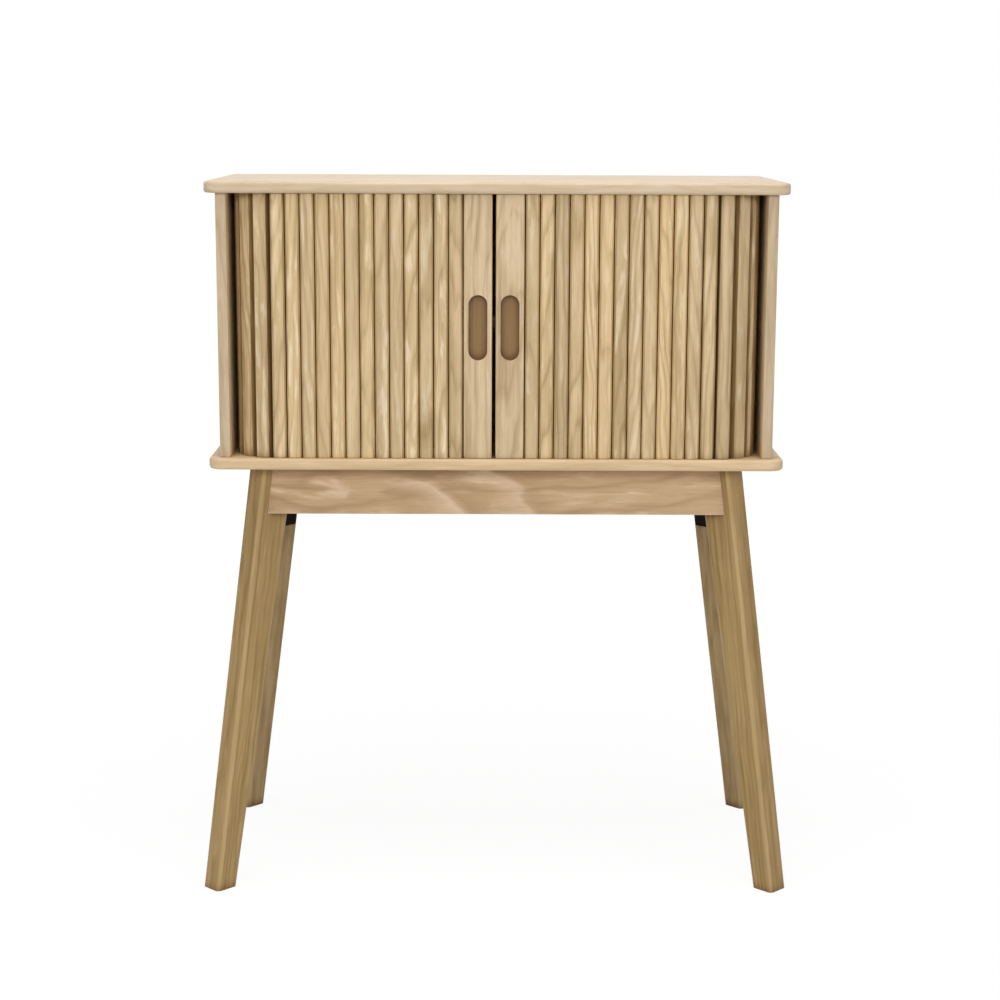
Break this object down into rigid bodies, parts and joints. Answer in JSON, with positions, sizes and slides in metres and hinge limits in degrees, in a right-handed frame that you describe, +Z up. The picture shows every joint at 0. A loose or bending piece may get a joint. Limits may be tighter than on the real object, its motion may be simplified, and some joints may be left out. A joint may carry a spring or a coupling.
{
  "type": "tambour door cabinet",
  "caption": "Wooden cabinet at chest height with two sliding tambour doors that run round inside its front corners, on four splayed, tapering legs set diagonally.",
  "frame": {"origin": "on the floor under the middle of the cabinet", "axes": "+X to the cabinet's right as seen from the front, +Y to its back, +Z up"},
  "size_m": [0.8324, 0.4054, 1],
  "materials": {
    "board_wood": "lacquered satin",
    "stave_wood": "lacquered satin",
    "slat_wood": "lacquered satin",
    "panel_wood": "lacquered satin",
    "frame_wood": "lacquered satin",
    "leg_wood": "lacquered satin",
    "inside_wood": "lacquered satin",
    "black_metal": "black powder coat"
  },
  "bodies": {
    "cabinet": {"top_board": "board_wood", "bottom_board": "board_wood", "left_side_panel": "panel_wood", "right_side_panel": "panel_wood", "back_panel": "inside_wood", "left_inner_wall": "inside_wood", "right_inner_wall": "inside_wood", "left_shelf_cleat": "inside_wood", "right_shelf_cleat": "inside_wood", "shelf": "inside_wood", "front_apron": "frame_wood", "back_apron": "frame_wood", "left_apron": "frame_wood", "right_apron": "frame_wood", "front_left_leg": "leg_wood", "front_right_leg": "leg_wood", "back_left_leg": "leg_wood", "back_right_leg": "leg_wood", "front_left_leg_bracket": "black_metal", "front_right_leg_bracket": "black_metal", "back_left_leg_bracket": "black_metal", "back_right_leg_bracket": "black_metal"},
    "left_door": {"left_lead_stave": "stave_wood", "left_slat_01": "slat_wood", "left_slat_02": "slat_wood", "left_slat_03": "slat_wood", "left_slat_04": "slat_wood", "left_slat_05": "slat_wood", "left_slat_06": "slat_wood", "left_slat_07": "slat_wood", "left_slat_08": "slat_wood"},
    "left_turning_slat_09": {"left_slat_09": "slat_wood"},
    "left_turning_slat_10": {"left_slat_10": "slat_wood"},
    "left_turning_slat_11": {"left_slat_11": "slat_wood"},
    "left_turning_slat_12": {"left_slat_12": "slat_wood"},
    "left_turning_slat_13": {"left_slat_13": "slat_wood"},
    "left_turning_slat_14": {"left_slat_14": "slat_wood"},
    "left_turning_slat_15": {"left_slat_15": "slat_wood"},
    "left_turning_slat_16": {"left_slat_16": "slat_wood"},
    "left_side_slat_17": {"left_slat_17": "slat_wood"},
    "right_door": {"right_lead_stave": "stave_wood", "right_slat_01": "slat_wood", "right_slat_02": "slat_wood", "right_slat_03": "slat_wood", "right_slat_04": "slat_wood", "right_slat_05": "slat_wood", "right_slat_06": "slat_wood", "right_slat_07": "slat_wood", "right_slat_08": "slat_wood"},
    "right_turning_slat_09": {"right_slat_09": "slat_wood"},
    "right_turning_slat_10": {"right_slat_10": "slat_wood"},
    "right_turning_slat_11": {"right_slat_11": "slat_wood"},
    "right_turning_slat_12": {"right_slat_12": "slat_wood"},
    "right_turning_slat_13": {"right_slat_13": "slat_wood"},
    "right_turning_slat_14": {"right_slat_14": "slat_wood"},
    "right_turning_slat_15": {"right_slat_15": "slat_wood"},
    "right_turning_slat_16": {"right_slat_16": "slat_wood"},
    "right_side_slat_17": {"right_slat_17": "slat_wood"}
  },
  "joints": [
    {"name": "left_door_slide", "type": "slide", "parent": "cabinet", "child": "left_door", "axis": [-1, 0, 0], "range_m": [0, 0.1015]},
    {"name": "left_slat_09_turn", "type": "hinge", "parent": "cabinet", "child": "left_turning_slat_09", "pos_m": [-0.26222, 0.13508, 0.802], "axis": [0, 0, -1], "range_deg": [0, 20.4]},
    {"name": "left_slat_10_turn", "type": "hinge", "parent": "cabinet", "child": "left_turning_slat_10", "pos_m": [-0.27237, -0.03125, 0.802], "axis": [0, 0, -1], "range_deg": [0, 48.09]},
    {"name": "left_slat_11_turn", "type": "hinge", "parent": "cabinet", "child": "left_turning_slat_11", "pos_m": [-0.28253, -0.07598, 0.802], "axis": [0, 0, -1], "range_deg": [0, 75.78]},
    {"name": "left_slat_12_turn", "type": "hinge", "parent": "cabinet", "child": "left_turning_slat_12", "pos_m": [-0.28774, -0.08774, 0.802], "axis": [0, 0, -1], "range_deg": [0, 90]},
    {"name": "left_slat_13_turn", "type": "hinge", "parent": "cabinet", "child": "left_turning_slat_13", "pos_m": [-0.28774, -0.08774, 0.802], "axis": [0, 0, -1], "range_deg": [0, 90]},
    {"name": "left_slat_14_turn", "type": "hinge", "parent": "cabinet", "child": "left_turning_slat_14", "pos_m": [-0.26919, -0.08026, 0.802], "axis": [0, 0, -1], "range_deg": [0, 69.61]},
    {"name": "left_slat_15_turn", "type": "hinge", "parent": "cabinet", "child": "left_turning_slat_15", "pos_m": [-0.2131, -0.07011, 0.802], "axis": [0, 0, -1], "range_deg": [0, 41.91]},
    {"name": "left_slat_16_turn", "type": "hinge", "parent": "cabinet", "child": "left_turning_slat_16", "pos_m": [0.0596, -0.05996, 0.802], "axis": [0, 0, -1], "range_deg": [0, 14.22]},
    {"name": "left_slat_17_slide", "type": "slide", "parent": "cabinet", "child": "left_side_slat_17", "axis": [0, 1, 0], "range_m": [0, 0.1015]},
    {"name": "right_door_slide", "type": "slide", "parent": "cabinet", "child": "right_door", "axis": [1, 0, 0], "range_m": [0, 0.1015]},
    {"name": "right_slat_09_turn", "type": "hinge", "parent": "cabinet", "child": "right_turning_slat_09", "pos_m": [0.25822, 0.46458, 0.802], "axis": [0, 0, 1], "range_deg": [0, 9.48]},
    {"name": "right_slat_10_turn", "type": "hinge", "parent": "cabinet", "child": "right_turning_slat_10", "pos_m": [0.26837, 0.0049, 0.802], "axis": [0, 0, 1], "range_deg": [0, 37.18]},
    {"name": "right_slat_11_turn", "type": "hinge", "parent": "cabinet", "child": "right_turning_slat_11", "pos_m": [0.27853, -0.06305, 0.802], "axis": [0, 0, 1], "range_deg": [0, 64.87]},
    {"name": "right_slat_12_turn", "type": "hinge", "parent": "cabinet", "child": "right_turning_slat_12", "pos_m": [0.28774, -0.08774, 0.802], "axis": [0, 0, 1], "range_deg": [0, 90]},
    {"name": "right_slat_13_turn", "type": "hinge", "parent": "cabinet", "child": "right_turning_slat_13", "pos_m": [0.28774, -0.08774, 0.802], "axis": [0, 0, 1], "range_deg": [0, 90]},
    {"name": "right_slat_14_turn", "type": "hinge", "parent": "cabinet", "child": "right_turning_slat_14", "pos_m": [0.28042, -0.08426, 0.802], "axis": [0, 0, 1], "range_deg": [0, 80.52]},
    {"name": "right_slat_15_turn", "type": "hinge", "parent": "cabinet", "child": "right_turning_slat_15", "pos_m": [0.2423, -0.07411, 0.802], "axis": [0, 0, 1], "range_deg": [0, 52.83]},
    {"name": "right_slat_16_turn", "type": "hinge", "parent": "cabinet", "child": "right_turning_slat_16", "pos_m": [0.11916, -0.06396, 0.802], "axis": [0, 0, 1], "range_deg": [0, 25.13]},
    {"name": "right_slat_17_slide", "type": "slide", "parent": "cabinet", "child": "right_side_slat_17", "axis": [0, 1, 0], "range_m": [0, 0.1015]}
  ],
  "couplings": [
    {"joint": "left_slat_09_turn", "follows": "left_door_slide", "rad_per_m": 3.5069},
    {"joint": "left_slat_10_turn", "follows": "left_door_slide", "rad_per_m": 8.2688},
    {"joint": "left_slat_11_turn", "follows": "left_door_slide", "rad_per_m": 13.031},
    {"joint": "left_slat_12_turn", "follows": "left_door_slide", "rad_per_m": 15.476},
    {"joint": "left_slat_13_turn", "follows": "left_door_slide", "rad_per_m": 15.476},
    {"joint": "left_slat_14_turn", "follows": "left_door_slide", "rad_per_m": 11.969},
    {"joint": "left_slat_15_turn", "follows": "left_door_slide", "rad_per_m": 7.207},
    {"joint": "left_slat_16_turn", "follows": "left_door_slide", "rad_per_m": 2.4451},
    {"joint": "left_slat_17_slide", "follows": "left_door_slide", "ratio": 1},
    {"joint": "right_slat_09_turn", "follows": "right_door_slide", "rad_per_m": 1.6303},
    {"joint": "right_slat_10_turn", "follows": "right_door_slide", "rad_per_m": 6.3922},
    {"joint": "right_slat_11_turn", "follows": "right_door_slide", "rad_per_m": 11.154},
    {"joint": "right_slat_12_turn", "follows": "right_door_slide", "rad_per_m": 15.476},
    {"joint": "right_slat_13_turn", "follows": "right_door_slide", "rad_per_m": 15.476},
    {"joint": "right_slat_14_turn", "follows": "right_door_slide", "rad_per_m": 13.846},
    {"joint": "right_slat_15_turn", "follows": "right_door_slide", "rad_per_m": 9.0836},
    {"joint": "right_slat_16_turn", "follows": "right_door_slide", "rad_per_m": 4.3217},
    {"joint": "right_slat_17_slide", "follows": "right_door_slide", "ratio": 1}
  ]
}
